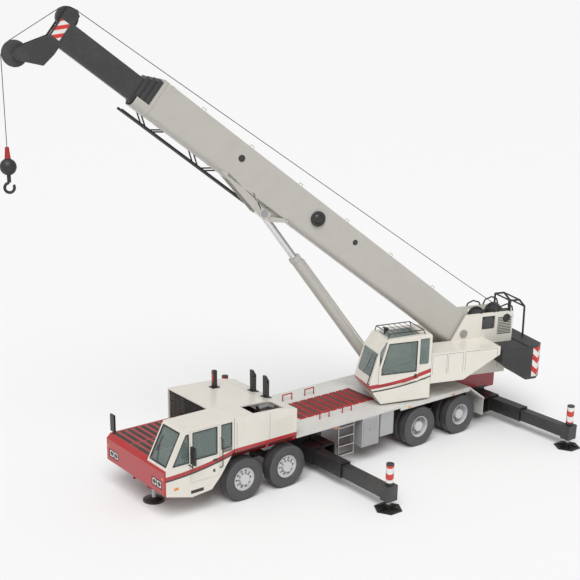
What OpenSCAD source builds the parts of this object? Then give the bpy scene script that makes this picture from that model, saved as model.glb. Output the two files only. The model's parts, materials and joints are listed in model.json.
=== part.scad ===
// Truck-mounted telescopic crane, parked on its tyres with the outriggers out.
// Crane axes: X forward, Y left, Z up; the slewing centre is at X = 0 before the datum shift.

/* [Carrier] */
// Overall width over the tyres and the deck
carrier_w = 2590; // [2500:10:2700]
// First steered axle ahead of the slewing centre
axle_1_x = 5740; // [5600:10:5900]
// Spacing of the two steered axles
front_axle_gap = 1280; // [1240:10:1400]
// Third axle from the slewing centre
axle_3_x = 20; // [-60:10:100]
// Spacing of the two drive axles
rear_axle_gap = 1520; // [1400:10:1560]
// Height of the deck's top face
deck_z = 1290; // [1280:5:1300]
// Front face of the bumper
bumper_x = 8000; // [7950:10:8100]

/* [Wheels] */
// Tyre diameter
tyre_d = 1090; // [1060:5:1110]
// Width of a steered tyre
front_tyre_w = 350; // [300:5:370]
// Width of one drive tyre
rear_tyre_w = 285; // [260:5:300]
// Distance between the middles of twin tyres
twin_gap = 345; // [340:5:360]
// Bead seat diameter of every rim
rim_d = 572; // [560:2:584]

/* [Outriggers] */
// Front outrigger ahead of the slewing centre, left-hand cell
outrigger_front_x = 3270; // [3200:10:3300]
// Rear outrigger from the slewing centre, left-hand cell
outrigger_rear_x = -3150; // [-3250:10:-3100]
// Jack centre from the middle, beams out
jack_y = 3600; // [3500:10:3700]
// Outer end of the first stage, beams out
stage_1_reach = 2050; // [1950:10:2100]
// Jack rod diameter
jack_rod_d = 100; // [80:2:120]
// Width across the flats of a jack float
float_w = 600; // [500:10:620]

/* [Upper works] */
// Slewing angle in the photograph, boom to the right of the front
slew = -16.45; // [-20:0.05:-12]
// Underside of the revolving frame
upper_z = 1500; // [1490:5:1520]
// Half width of the upper works over the cab and counterweight
upper_half_w = 1250; // [1200:10:1280]
// Rear face of the counterweight behind the slewing centre
tail_x = -3980; // [-4000:10:-3900]

/* [Boom] */
// Boom angle in the photograph
luff = 37.5; // [30:0.5:45]
// Boom foot pin behind the slewing centre
boom_pin_x = -1950; // [-2000:10:-1900]
// Boom foot pin above the ground
boom_pin_z = 2710; // [2650:10:2760]
// Width of the base section
boom_w = 600; // [560:4:600]
// Depth of the base section
boom_h = 930; // [900:5:950]
// Front end of the base section from the foot pin
boom_front = 10600; // [10400:50:10800]
// Front end of the tip section from the foot pin, sections in
tip_front = 12950; // [12900:50:13200]
// Plate thickness of the boom sections
boom_t = 12; // [8:1:14]
// Lift cylinder's upper pin along the boom
lift_pin_d = 6720; // [6600:20:6800]
// Lift cylinder's upper pin below the boom's middle line
lift_pin_drop = 600; // [590:5:640]
// Lift cylinder's lower pin ahead of the slewing centre
lift_base_x = 350; // [320:5:380]
// Lift cylinder's lower pin above the ground
lift_base_z = 1720; // [1710:5:1760]
// Outside diameter of the lift cylinder
lift_barrel_d = 280; // [260:5:290]
// Diameter of the lift cylinder's rod
lift_rod_d = 180; // [160:5:190]

/* [Hoist] */
// Diameter of the hoist rope
rope_d = 19; // [16:1:24]
// Length of the rope's fall below the jib sheave's axle
fall = 2010; // [1800:10:2400]
// Diameter of the overhaul ball
ball_d = 380; // [320:10:420]

/* [Hidden] */
$fn = 64;
// Running clearance at pins, pads and shafts, and the gap round a pane in its frame
fit = 0.3;
// Clear distance between pieces that move past each other
eps = 1;
half_w = carrier_w / 2;
tyre_r = tyre_d / 2;
axle_2_x = axle_1_x - front_axle_gap;
axle_4_x = axle_3_x - rear_axle_gap;
front_wheel_y = half_w - front_tyre_w / 2;
rear_wheel_y = half_w - rear_tyre_w / 2;
twin_disc = rear_tyre_w * 0.35;

// Chassis frame
frame_half_w = 450;
frame_bottom = 780;
deck_t = 50;
frame_top = deck_z - deck_t - fit;
rail_w = 110;
engine_half_w = frame_half_w - rail_w - fit;
frame_front = 7600;
tow_z = 590;
grab_r = 16;
shaft_rear = [axle_3_x + 200, 0, tyre_d / 2 + 40];
shaft_front = [4700, 0, 900];
shaft_r = 60;
frame_rear = -3350;
pedestal_r = 620;
race_r = 590;

// Carrier cab, in the side view
cab_rear_x = 6070;
cab_wall = 40;
cab_inner_y = 480;
cab_roof_z = 2210;
cab_sill_z = 1310;
cab_pts = [[7950, 700], [7950, cab_sill_z], [7480, cab_roof_z], [cab_rear_x, cab_roof_z],
           [cab_rear_x, 1370], [6450, 830], [6700, 560], [7250, 510]];
quarter_pane = [[7330, 1390], [7760, 1390], [7400, 2080], [7330, 2080]];
inner_pane = [[6600, 1500], [7710, 1500], [7400, 2090], [6600, 2090]];
door_front_x = 7290;
door_rear_x = 6480;
door_low_z = 870;
door_top_z = 2140;
door_gap = 6;
hinge_out = 11;

// Engine hood
hood_front_x = 6240;
hood_rear_x = 4210;
hood_low_z = 1300;
hood_front_z = 2200;
hood_rear_z = 2010;
hood_wall = 30;
hood_knee = [4700, 2120];
function hood_z(x) = x < hood_knee[0]
  ? hood_rear_z + (x - hood_rear_x) * (hood_knee[1] - hood_rear_z) / (hood_knee[0] - hood_rear_x)
  : hood_knee[1] + (x - hood_knee[0]) * (hood_front_z - hood_knee[1]) / (hood_front_x - hood_knee[0]);

// Outrigger tubes, widths and heights from the housing inwards
housing_half = 1000;
housing_w = 340;
housing_h = 420;
stage_1_w = 290;
stage_1_h = 370;
stage_2_w = 230;
stage_2_h = 310;
beam_z = 440;
tube_t = 18;
cell_gap = 380;
head_len = 270;
stage_1_len = 1900;
stage_2_len = 1850;
jack_top_z = 1165;
jack_tube_r = 95;

// Upper works
plate_y = 360;
plate_t = 50;
plate_rear_x = -3450;
weight_x = plate_rear_x - fit;
base_t = 60;
opcab_rear_x = -550;
opcab_in_y = 345;
opcab_wall = 40;
opcab_floor_z = 1575;
opcab_pts = [[-550, 1360], [850, 1340], [1020, 1570], [1200, 1850], [1160, 2050], [960, 2740],
             [740, 3060], [-500, 3110], [-550, 3060]];
opcab_inner_pane = [[-450, 2250], [900, 2250], [700, 3000], [-450, 3000]];
opdoor_front_x = 930;
opdoor_rear_x = -150;
opdoor_t = 30;
opdoor_low_z = 1900;
opdoor_top_z = 3000;

// Boom sections from the base to the tip: width, depth and front end
section_step_w = 60;
section_drop = 8;
section_h = [boom_h, 850, 770, 690, 600];
collar_pitch = 130;
collar_len = 80;
section_rear = [-350, 350, 450, 550, 650];
bottom_z = -boom_h / 2;
head_x = tip_front;
jib_sheave = [tip_front + 690, -1050];
jib_sheave_r = 290;
head_sheave = [tip_front + 190, 250];
head_sheave_r = 250;

// Lift cylinder length and slope at rest
lift_top = [boom_pin_x + lift_pin_d * cos(luff) + lift_pin_drop * sin(luff),
            boom_pin_z + lift_pin_d * sin(luff) - lift_pin_drop * cos(luff)];
lift_len = norm(lift_top - [lift_base_x, lift_base_z]);
lift_slope = atan2(lift_top[1] - lift_base_z, lift_top[0] - lift_base_x);
barrel_len = 4200;
lift_rod_len = 3650;

// Jib sheave in upper axes, where the hoist rope leaves it
sheave_at = [boom_pin_x + jib_sheave[0] * cos(luff) - jib_sheave[1] * sin(luff),
             boom_pin_z + jib_sheave[0] * sin(luff) + jib_sheave[1] * cos(luff)];

// The origin is under the middle of the whole machine
front_most = (sheave_at[0] + jib_sheave_r + 20) * cos(slew) + 60;
rear_most = tail_x * cos(slew) - (upper_half_w - 160) * abs(sin(slew));
datum_x = -(front_most + rear_most) / 2;

SIDES = [["left", 1], ["right", -1]];

// Helpers

// Carrier pieces, moved to the datum
module on_carrier() translate([datum_x, 0, 0]) children();
// Upper works pieces, slewed
module on_upper() on_carrier() rotate([0, 0, slew]) children();
// Boom pieces: X along the boom from its foot pin, Z across it
module on_boom() on_upper() translate([boom_pin_x, 0, boom_pin_z]) rotate([0, -luff, 0]) children();
// Lift cylinder pieces: X along the cylinder from its lower pin
module on_lift() on_upper() translate([lift_base_x, 0, lift_base_z]) rotate([0, -lift_slope, 0]) children();
// A side-view outline in X and Z, extruded from y0 to y1
module slab(points, y0, y1)
  translate([0, y1, 0]) rotate([90, 0, 0]) linear_extrude(y1 - y0) polygon(points);
// Box between two corners
module block(low, high) translate(low) cube(high - low);
// Rod along Y, from y0 to y1, at x and z
module cross_rod(x, z, r, y0, y1) translate([x, y1, z]) rotate([90, 0, 0]) cylinder(r = r, h = y1 - y0);
// Round bar between two points
module bar(a, b, r) {
  v = b - a;
  translate(a) rotate([0, acos(v[2] / norm(v)), atan2(v[1], v[0])]) cylinder(r = r, h = norm(v), $fn = 24);
}
// Local axes on a side-view edge: X from a to b, Z square to it
module on_edge(a, b) translate([a[0], 0, a[1]]) rotate([0, -atan2(b[1] - a[1], b[0] - a[0]), 0]) children();
// Rectangle with round corners, from its lower corner
module round_rect(w, h, r) {
  translate([r, 0]) square([w - 2 * r, h]);
  translate([0, r]) square([w, h - 2 * r]);
  for (x = [r, w - r], y = [r, h - r]) translate([x, y]) circle(r);
}
// The left-hand form, or its mirror image for the right-hand side
module side(s) mirror([0, s > 0 ? 0 : 1, 0]) children();
// Both sides of the machine
module both_sides() {
  children();
  mirror([0, 1, 0]) children();
}
// Outline moved inwards by t, with its points running anticlockwise
function edge_dir(a, b) = (b - a) / norm(b - a);
function inner_corner(p, c, n, t) =
  let (d0 = edge_dir(p, c), d1 = edge_dir(c, n), n0 = [-d0[1], d0[0]], n1 = [-d1[1], d1[0]])
  c + t * (n0 + n1) / (1 + n0 * n1);
function inset(pts, t) = [for (i = [0:len(pts) - 1])
  inner_corner(pts[(i + len(pts) - 1) % len(pts)], pts[i], pts[(i + 1) % len(pts)], t)];

// Chassis

module chassis_frame() color("firebrick") on_carrier() {
  difference() {
    union() {
      both_sides()
        block([frame_rear, frame_half_w - rail_w, frame_bottom], [frame_front, frame_half_w, frame_top]);
      block([frame_rear, -frame_half_w, frame_top - 40], [hood_rear_x - 900, frame_half_w, frame_top]);
      for (x = [frame_rear, axle_4_x - 60, axle_3_x + 300, 2200, hood_rear_x, axle_1_x + 350,
                frame_front - 200])
        block([x, -frame_half_w, frame_bottom], [x + 200, frame_half_w, frame_top]);
      translate([0, 0, frame_bottom]) cylinder(r = pedestal_r, h = upper_z - 80 - frame_bottom);
      // Tube of the front jack
      translate([frame_front - 100, 0, 330]) cylinder(r = 95, h = 960);
    }
    translate([frame_front - 100, 0, 320]) cylinder(r = jack_rod_d / 2 - 5 + fit, h = 950);
    translate([0, 0, frame_bottom - eps]) cylinder(r = pedestal_r - 150, h = 1000);
    bar(shaft_rear, shaft_front, shaft_r + 15);
  }
  translate([0, 0, upper_z - 80]) difference() {
    cylinder(r = race_r, h = 80 - fit);
    translate([0, 0, -eps]) cylinder(r = race_r - 130, h = 100);
  }
  // Tail box and tow lugs
  difference() {
    block([frame_rear - 330, -frame_half_w, 700], [frame_rear, frame_half_w, 1150]);
    block([frame_rear - 280, -frame_half_w + 50, 750], [frame_rear - 50, frame_half_w - 50, 1200]);
  }
  both_sides() difference() {
    translate([frame_front - 60, 300, tow_z - 60]) cube([320, 40, 280]);
    cross_rod(frame_front + 200, tow_z, 32, 250, 400);
  }
  // Bearers of the hood, the front deck and the cab
  both_sides() for (x = [hood_rear_x + 40, 5060])
    block([x, frame_half_w - rail_w, frame_top - eps], [x + 80, half_w - 5, hood_low_z - fit]);
  difference() {
    block([frame_front - 40, -frame_half_w, frame_top - eps], [frame_front, frame_half_w, 1340 - fit]);
    translate([frame_front - 100, 0, 330]) cylinder(r = 96, h = 1200);
  }
  for (x = [6500, 7250]) block([x, frame_half_w - eps, 880], [x + 150, cab_inner_y - fit, 1000]);
}

module outrigger_housings() color([0.09, 0.09, 0.1]) on_carrier() {
  for (x = [outrigger_front_x, outrigger_rear_x], s = [0, 1])
    let (xc = x + (x > 0 ? -1 : 1) * s * cell_gap)
    translate([xc, 0, beam_z]) difference() {
      block([-housing_w / 2, -housing_half, -housing_h / 2], [housing_w / 2, housing_half, housing_h / 2]);
      block([-housing_w / 2 + tube_t, -housing_half - eps, -housing_h / 2 + tube_t],
            [housing_w / 2 - tube_t, housing_half + eps, housing_h / 2 - tube_t]);
    }
  // Hangers under the frame rails
  for (x = [outrigger_front_x, outrigger_front_x - cell_gap, outrigger_rear_x, outrigger_rear_x + cell_gap])
    both_sides() block([x - housing_w / 2, frame_half_w - rail_w, beam_z + housing_h / 2 - eps],
                       [x + housing_w / 2, frame_half_w, frame_bottom - fit]);
}

module driveline() color([0.13, 0.12, 0.12]) on_carrier() {
  // Steered axle beams with a leaf spring pack at each rail
  for (x = [axle_1_x, axle_2_x]) {
    block([x - 60, -front_wheel_y + 300, tyre_r - 70], [x + 60, front_wheel_y - 300, tyre_r + 50]);
    both_sides()
      block([x - 480, frame_half_w - 90, tyre_r + 50], [x + 480, frame_half_w - 10, tyre_r + 110]);
    both_sides() for (dx = [-440, 440])
      block([x + dx - 40, frame_half_w - 90, tyre_r + 110], [x + dx + 40, frame_half_w - 10, frame_bottom]);
  }
  // Drive axle casings with their differentials and the equalising beams
  for (x = [axle_3_x, axle_4_x]) {
    cross_rod(x, tyre_r, 95, -rear_wheel_y + 480, rear_wheel_y - 480);
    translate([x, 0, tyre_r]) sphere(r = 230);
    both_sides() cross_rod(x, tyre_r, 60, rear_wheel_y - 480 - eps, rear_wheel_y + 40);
  }
  both_sides()
    block([axle_4_x, frame_half_w - 95, tyre_r + 90], [axle_3_x, frame_half_w - 5, frame_bottom]);
  // Propeller shaft, engine and radiator
  bar(shaft_rear, shaft_front, shaft_r);
  block([4650, -engine_half_w, 800], [5750, engine_half_w, 1750]);
  block([5850, -800, frame_top], [6050, 420, 2050]);
}

// Knuckles and wheels

module knuckle(x, s) color([0.15, 0.14, 0.14]) on_carrier() side(s) {
  // King pin post and spindle
  translate([x, front_wheel_y - 300 + fit + 60, tyre_r - 130]) cylinder(r = 60 - fit, h = 260);
  cross_rod(x, tyre_r, 55, front_wheel_y - 200, front_wheel_y + 120);
}

module tyre_ring(w) rotate_extrude($fn = 96) {
  sw = w / 2;
  r1 = tyre_r;
  r0 = rim_d / 2 + fit;
  polygon([[r0, -sw * 0.78], [r0 + 60, -sw * 0.96], [r0 + 140, -sw], [r1 - 60, -sw * 0.95],
           [r1 - 12, -sw * 0.86],
           [r1, -sw * 0.7], [r1, sw * 0.7], [r1 - 12, sw * 0.86], [r1 - 60, sw * 0.95], [r0 + 140, sw],
           [r0 + 60, sw * 0.96], [r0, sw * 0.78]]);
}

// Disc wheel on its hub, with the disc at height d from the tyre's middle plane
module rim_disc(w, d) difference() {
  union() {
    difference() {
      translate([0, 0, -w * 0.39]) cylinder(r = rim_d / 2, h = w * 0.78);
      translate([0, 0, -w]) cylinder(r = rim_d / 2 - 16, h = 2 * w);
    }
    translate([0, 0, d - 12]) cylinder(r = rim_d / 2 - 10, h = 24);
    translate([0, 0, d - 60]) cylinder(r = 130, h = 130);
  }
  for (i = [0:9]) rotate([0, 0, i * 36]) translate([205, 0, d - 50]) cylinder(r = 28, h = 100, $fn = 24);
}

module front_wheel(x, s) on_carrier() translate([x, s * front_wheel_y, tyre_r]) rotate([-90 * s, 0, 0]) {
  color([0.2, 0.2, 0.21]) tyre_ring(front_tyre_w);
  color("silver") difference() {
    rim_disc(front_tyre_w, front_tyre_w * 0.28);
    translate([0, 0, -200]) cylinder(r = 55 + fit, h = 200 + 120 + fit);
  }
}

module twin_wheels(x, s) on_carrier() translate([x, s * rear_wheel_y, tyre_r]) rotate([-90 * s, 0, 0]) {
  color([0.2, 0.2, 0.21]) for (z = [0, -twin_gap]) translate([0, 0, z]) tyre_ring(rear_tyre_w);
  color("silver") difference() {
    union() {
      rim_disc(rear_tyre_w, -twin_disc);
      translate([0, 0, -twin_gap]) mirror([0, 0, 1]) rim_disc(rear_tyre_w, -twin_disc);
      translate([0, 0, -240]) cylinder(r = 130, h = 330);
    }
    translate([0, 0, -600]) cylinder(r = 60 + fit, h = 640 + fit);
  }
}

// Bumper, front deck and hood

module front_bumper() color("firebrick") on_carrier() {
  difference() {
    slab([[frame_front + 5, 700], [bumper_x - 40, 700], [bumper_x, 740], [bumper_x, 1290],
          [bumper_x - 110, 1400],
          [hood_front_x + 20, 1400], [hood_front_x + 20, 1340], [frame_front + 5, 1340]], -half_w, half_w);
    // Cab corner and lamp recesses
    block([hood_front_x, cab_inner_y - 20, 600], [bumper_x - 45, half_w + eps, 1500]);
    both_sides() block([bumper_x - 30, 760, 850], [bumper_x + eps, 1180, 1060]);
    // Hollow behind the face
    block([bumper_x - 440, -half_w + 30, 690], [bumper_x - 70, cab_inner_y - 40, 1300]);
  }
}

module engine_hood() color([0.86, 0.85, 0.81]) on_carrier() {
  outline = [[hood_rear_x, hood_low_z], [hood_rear_x, hood_rear_z], hood_knee, [hood_front_x, hood_front_z],
             [hood_front_x, hood_low_z]];
  difference() {
    slab(outline, -half_w, half_w);
    slab([[hood_rear_x + hood_wall, hood_low_z - eps], [hood_rear_x + hood_wall, hood_rear_z - hood_wall],
          hood_knee - [0, hood_wall], [hood_front_x + eps, hood_front_z - hood_wall],
          [hood_front_x + eps, hood_low_z - eps]],
         -half_w + hood_wall, half_w - hood_wall);
    // Room for the cab's rear corner
    block([cab_rear_x - 20, cab_inner_y - 20, 1000], [hood_front_x + eps, half_w + eps, 2300]);
    // Air well in the top, left rear
    block([4560, 700, 2000], [5480, half_w - 60, 2300]);
  }
}

// Carrier cab

module cab_side_window(x0, z0, x1, z1, r, y0, y1)
  translate([x0, y1, z0]) rotate([90, 0, 0]) linear_extrude(y1 - y0) round_rect(x1 - x0, z1 - z0, r);

module carrier_cab_shell() color([0.86, 0.85, 0.81]) on_carrier() difference() {
  slab(cab_pts, cab_inner_y, half_w);
  slab(inset(cab_pts, cab_wall), cab_inner_y + cab_wall, half_w - cab_wall);
  // Door opening, rear quarter window, rear and inner windows
  block([door_rear_x, half_w - cab_wall - eps, door_low_z], [door_front_x, half_w + eps, door_top_z]);
  cab_side_window(6130, 1500, 6420, 2100, 40, half_w - cab_wall - eps, half_w + eps);
  slab(quarter_pane, half_w - cab_wall - eps, half_w + eps);
  slab(inner_pane, cab_inner_y - eps, cab_inner_y + cab_wall + eps);
  block([cab_rear_x - eps, cab_inner_y + 110, 1600], [cab_rear_x + cab_wall + eps, half_w - 110, 2080]);
  carrier_windshield(cab_wall + 40, 0);
}

// Windshield pane, or the cut for it: t thick, g smaller all round
module carrier_windshield(t, g) on_edge(cab_pts[1], cab_pts[2])
  translate([100 + g, cab_inner_y + 70 + g, cab_wall / 2 - t / 2])
    linear_extrude(t) round_rect(830 - 2 * g, half_w - cab_inner_y - 140 - 2 * g, 60);

module carrier_cab_glass() color([0.45, 0.55, 0.55, 0.6]) on_carrier() {
  m = half_w - cab_wall / 2;
  carrier_windshield(8, fit);
  cab_side_window(6130 + fit, 1500 + fit, 6420 - fit, 2100 - fit, 40, m - 4, m + 4);
  slab(inset(quarter_pane, fit), m - 4, m + 4);
  slab(inset(inner_pane, fit), cab_inner_y + cab_wall / 2 - 4,
       cab_inner_y + cab_wall / 2 + 4);
  block([cab_rear_x + 16, cab_inner_y + 110 + fit, 1600 + fit],
        [cab_rear_x + 24, half_w - 110 - fit, 2080 - fit]);
}

module carrier_cab_interior() color([0.22, 0.22, 0.23]) on_carrier() {
  floor_z = 700;
  y = (cab_inner_y + half_w) / 2;
  // Seat on its pedestal
  block([6720, y - 150, floor_z], [7000, y + 150, 1050]);
  block([6520, y - 240, 1050], [7050, y + 240, 1170]);
  block([6420, y - 230, 1050], [6520, y + 230, 1780]);
  // Dash, column and steering wheel
  slab([[7600, 1000], [7600, 1330], [7740, 1330], [7870, 1230], [7870, 1000]],
       cab_inner_y + cab_wall, half_w - cab_wall);
  bar([7620, y, 1230], [7380, y, 1430], 28);
  translate([7380, y, 1430]) rotate([0, -50, 0]) {
    rotate_extrude($fn = 48) translate([200, 0]) circle(16, $fn = 16);
    for (a = [0, 120, 240]) rotate([0, 0, a]) block([0, -14, -8], [195, 14, 8]);
  }
  block([6780, cab_inner_y + cab_wall, 660], [7600, half_w - cab_wall, floor_z]);
  block([7560, cab_inner_y + cab_wall, 660], [7600, half_w - cab_wall, 1010]);
}

module carrier_cab_door() color([0.86, 0.85, 0.81]) on_carrier() {
  y0 = half_w - cab_wall;
  x0 = door_rear_x + door_gap;
  x1 = door_front_x - door_gap;
  difference() {
    block([x0, y0, door_low_z + door_gap], [x1, half_w, door_top_z - door_gap]);
    cab_side_window(x0 + 60, 1420, x1 - 70, 2090, 50, y0 - eps, half_w + eps);
  }
  // Hinge blocks, leaves and barrels
  for (z = [1000, 1300]) {
    block([x1 - eps, y0 + 10, z], [door_front_x - fit, half_w - 5, z + 80]);
    block([x1 - 70, half_w - eps, z + 10], [x1, half_w + hinge_out, z + 70]);
    translate([x1, half_w + hinge_out, z]) cylinder(r = hinge_out - 1, h = 80);
  }
  color([0.45, 0.55, 0.55, 0.6]) cab_side_window(x0 + 60 + fit, 1420 + fit, x1 - 70 - fit, 2090 - fit, 50,
                                                half_w - cab_wall / 2 - 4, half_w - cab_wall / 2 + 4);
}

// Deck, boxes, rails and posts

module rear_deck() color([0.78, 0.79, 0.8]) on_carrier() {
  fender_rear = -2390;
  difference() {
    block([-1780, -half_w, deck_z - deck_t], [hood_rear_x - 5, half_w, deck_z]);
    translate([0, 0, 1000]) cylinder(r = pedestal_r + 20, h = 400);
  }
  // Fender skirts and their sloping rear ends
  both_sides() {
    block([-1780, half_w - 30, deck_z - 120], [760, half_w, deck_z - deck_t]);
    slab([[-1780, deck_z - deck_t], [-1780, deck_z], [fender_rear, 850], [fender_rear, 800]], 560, half_w);
    block([fender_rear, 620, 330], [fender_rear + 20, half_w - 20, 830]);
  }
  // Red walkway down the middle
  color("firebrick") for (i = [0:9])
    block([1000 + i * 250, -500, deck_z], [1200 + i * 250, 500, deck_z + 30]);
}

module side_boxes() color([0.62, 0.63, 0.63]) on_carrier() {
  both_sides() {
    block([1510, half_w - 430, 460], [2080, half_w, deck_z - deck_t]);
    block([990, half_w - 430, 600], [1440, half_w - 20, deck_z - deck_t]);
  }
}

module grab_rails() color("firebrick") on_carrier() both_sides() {
  // Low enough for the tail to swing over them
  top_z = deck_z + 180;
  y = 760;
  for (x = [2000, 2740]) {
    bar([x, y, deck_z], [x, y, top_z], grab_r);
    bar([x + 300, y, deck_z], [x + 300, y, top_z], grab_r);
    bar([x, y, top_z], [x + 300, y, top_z], grab_r);
  }
}

// Foot plate that follows the hood's slope, with a post on it
module hood_foot(x, y) {
  slab([[x - 110, hood_z(x - 110) + fit], [x + 110, hood_z(x + 110) + fit], [x + 110, hood_z(x + 110) + 20],
        [x - 110, hood_z(x - 110) + 20]], y - 90, y + 90);
}

module posts_and_mirrors() color([0.08, 0.08, 0.09]) on_carrier() {
  // Boom rest prongs
  for (y = [-200, 330]) {
    hood_foot(4420, y);
    difference() {
      slab([[4360, hood_z(4360) + 10], [4480, hood_z(4480) + 10], [4490, 2620], [4440, 2620], [4360, 2480]],
           y - 50, y + 50);
      cross_rod(4420, 2460, 30, y - 60, y + 60);
    }
  }
  // Lamp post
  hood_foot(5190, -780);
  block([5140, -830, hood_z(5240) + 10], [5240, -730, 2590]);
  // Left mirror on its arm
  bar([7330, half_w, 1340], [7330, half_w + 160, 1340], 14);
  bar([7330, half_w + 160, 1300], [7330, half_w + 160, 1840], 14);
  block([7290, half_w + 80, 1400], [7340, half_w + 260, 1820]);
  // Right mirror on the bumper's corner
  bar([7850, -half_w + 60, 1400 + fit], [7850, -half_w + 60, 1500], 14);
  block([7825, -half_w - 20, 1450], [7875, -half_w + 160, 1880]);
}

module lamps() color([0.85, 0.85, 0.82]) on_carrier() {
  both_sides() for (y = [780, 980]) block([bumper_x - 30, y, 870], [bumper_x - 5, y + 180, 1040]);
  both_sides() block([frame_rear - 350, 150, 800], [frame_rear - 330, 400, 900]);
}

// Outriggers

function cell_x(end, s) = (end == "front" ? outrigger_front_x : outrigger_rear_x)
                          + (s > 0 ? 0 : (end == "front" ? -cell_gap : cell_gap));

module at_cell(end, s) on_carrier() translate([cell_x(end, s), 0, beam_z]) side(s) children();

module tube(w, h, t, y0, y1) difference() {
  block([-w / 2, y0, -h / 2], [w / 2, y1, h / 2]);
  block([-w / 2 + t, y0 - eps, -h / 2 + t], [w / 2 - t, y1 + eps, h / 2 - t]);
}

module outrigger_box(end, s) color([0.08, 0.08, 0.09]) at_cell(end, s) {
  lift = -(housing_h - stage_1_h) / 2 + tube_t + fit;
  translate([0, 0, lift]) tube(stage_1_w, stage_1_h, tube_t, stage_1_reach - stage_1_len, stage_1_reach);
}

module outrigger_beam(end, s) color([0.12, 0.12, 0.13]) at_cell(end, s) {
  low = -housing_h / 2 + 2 * tube_t + 2 * fit;
  y1 = jack_y - head_len / 2;
  difference() {
    union() {
      block([-stage_2_w / 2, y1 - stage_2_len, low], [stage_2_w / 2, y1, low + stage_2_h]);
      block([-150, y1, -200], [150, jack_y + head_len / 2, 190]);
      translate([0, jack_y, 180]) cylinder(r = jack_tube_r, h = jack_top_z - beam_z - 180);
    }
    block([-stage_2_w / 2 + tube_t, y1 - stage_2_len - eps, low + tube_t],
          [stage_2_w / 2 - tube_t, y1 - eps, low + stage_2_h - tube_t]);
    translate([0, jack_y, -400]) cylinder(r = jack_rod_d / 2 + fit, h = jack_top_z - beam_z + 400 - 40);
  }
}

module float_plate(w) {
  cylinder(r = w / 2 / cos(30), h = 25, $fn = 6);
  for (a = [0:60:179]) rotate([0, 0, a]) slab([[-w / 2, 25], [-100, 110], [100, 110], [w / 2, 25]], -8, 8);
  cylinder(r = 95, h = 130);
}

module jack_foot(end, s) on_carrier() translate([cell_x(end, s), s * jack_y, 0]) {
  color([0.05, 0.05, 0.06]) float_plate(float_w);
  color("silver") translate([0, 0, 130]) cylinder(r = jack_rod_d / 2, h = 900);
}

module front_jack() on_carrier() translate([frame_front - 100, 0, 0]) {
  color([0.05, 0.05, 0.06]) {
    cylinder(r = 260, h = 30);
    translate([0, 0, 30]) cylinder(r1 = 220, r2 = 90, h = 60);
  }
  color("silver") translate([0, 0, 90]) cylinder(r = jack_rod_d / 2 - 5, h = 800);
}

// Upper works

module upper_frame() color([0.82, 0.81, 0.77]) on_upper() {
  // Base plate on the slewing ring, and the lugs for the lift cylinder
  block([-3300, -plate_y - plate_t, upper_z], [opcab_rear_x - 70, plate_y + plate_t, upper_z + base_t]);
  block([opcab_rear_x - 70 - eps, -300, upper_z], [720, 300, upper_z + base_t]);
  difference() {
    both_sides()
      slab([[0, upper_z + base_t], [150, 1850], [350, 1900], [550, 1850], [700, upper_z + base_t]], 170, 230);
    cross_rod(lift_base_x, lift_base_z, 70 + fit, -300, 300);
  }
  // Bearers under the operator's cab
  for (x = [-420, 480]) block([x, 300 - eps, upper_z], [x + 120, 740, opcab_floor_z - 5 - fit]);
  // Side plates that carry the boom foot and the winches
  difference() {
    both_sides()
      slab([[opcab_rear_x - 70, upper_z + base_t], [opcab_rear_x - 70, 1950], [-1000, 2000], [-1540, 2430],
            [-2000, 3220], [plate_rear_x, 3220], [plate_rear_x, 2000], [-3300, upper_z + base_t]],
           plate_y, plate_y + plate_t);
    cross_rod(boom_pin_x, boom_pin_z, 110 + fit, -500, 500);
    both_sides() cab_side_window(-2900, 2760, -2500, 3130, 20, plate_y - eps, plate_y + plate_t + eps);
    both_sides() cross_rod(-3250, 3030, 120, plate_y - eps, plate_y + plate_t + eps);
  }
  // Machinery housings on both sides
  both_sides() slab([[-560, 1740], [-560, 2560], [-2600, 2540], [-2600, 2320], [-1540, 1740]],
                    plate_y + plate_t, upper_half_w);
}

module counterweight() color([0.13, 0.13, 0.14]) on_upper() {
  difference() {
    slab([[tail_x, 1520], [tail_x, 2440], [weight_x, 2460], [weight_x, 1510]], -upper_half_w, upper_half_w);
    both_sides()
      translate([tail_x, upper_half_w, 1400]) rotate([0, 0, 45]) cube([300, 300, 2400], center = true);
  }
  both_sides()
    slab([[weight_x - eps, 1510], [weight_x - eps, 2440], [-2680, 2440], [-2680, 2050]], 600, upper_half_w);
}

module winches() color([0.3, 0.3, 0.3]) on_upper() {
  for (p = [[-2720, 2950], [-3250, 3030]]) {
    cross_rod(p[0], p[1], 170, -plate_y, plate_y);
    both_sides() cross_rod(p[0], p[1], 255, plate_y - 60, plate_y - 20);
  }
}

// Operator's cab

module upper_cab_shell() color([0.86, 0.85, 0.81]) on_upper() {
  opcab_walls();
  // Rails of the sliding door
  for (z = [opdoor_low_z - 20, opdoor_top_z])
    block([opcab_rear_x + 10, upper_half_w - eps, z], [700, upper_half_w + 8 - fit, z + 20]);
}

module opcab_walls() difference() {
  slab(opcab_pts, opcab_in_y, upper_half_w);
  slab(inset(opcab_pts, opcab_wall), opcab_in_y + opcab_wall, upper_half_w - opcab_wall);
  // Room for the revolving frame under the floor
  block([-700, 0, 1200], [1300, 760, opcab_floor_z - 5]);
  // Door opening with the sliding door's recess behind it, rear quarter window
  block([opdoor_rear_x, upper_half_w - opcab_wall - eps, opdoor_low_z],
        [opdoor_front_x, upper_half_w + eps, opdoor_top_z]);
  cab_side_window(-480, 2300, -210, 3000, 40, upper_half_w - opcab_wall - eps, upper_half_w + eps);
  opcab_front_pane(opcab_wall + 60, 0);
  opcab_top_pane(opcab_wall + 60, 0);
  slab(opcab_inner_pane, opcab_in_y - eps, opcab_in_y + opcab_wall + eps);
  block([opcab_rear_x - eps, opcab_in_y + 120, 2200],
        [opcab_rear_x + opcab_wall + eps, upper_half_w - 120, 2980]);
}

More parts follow.
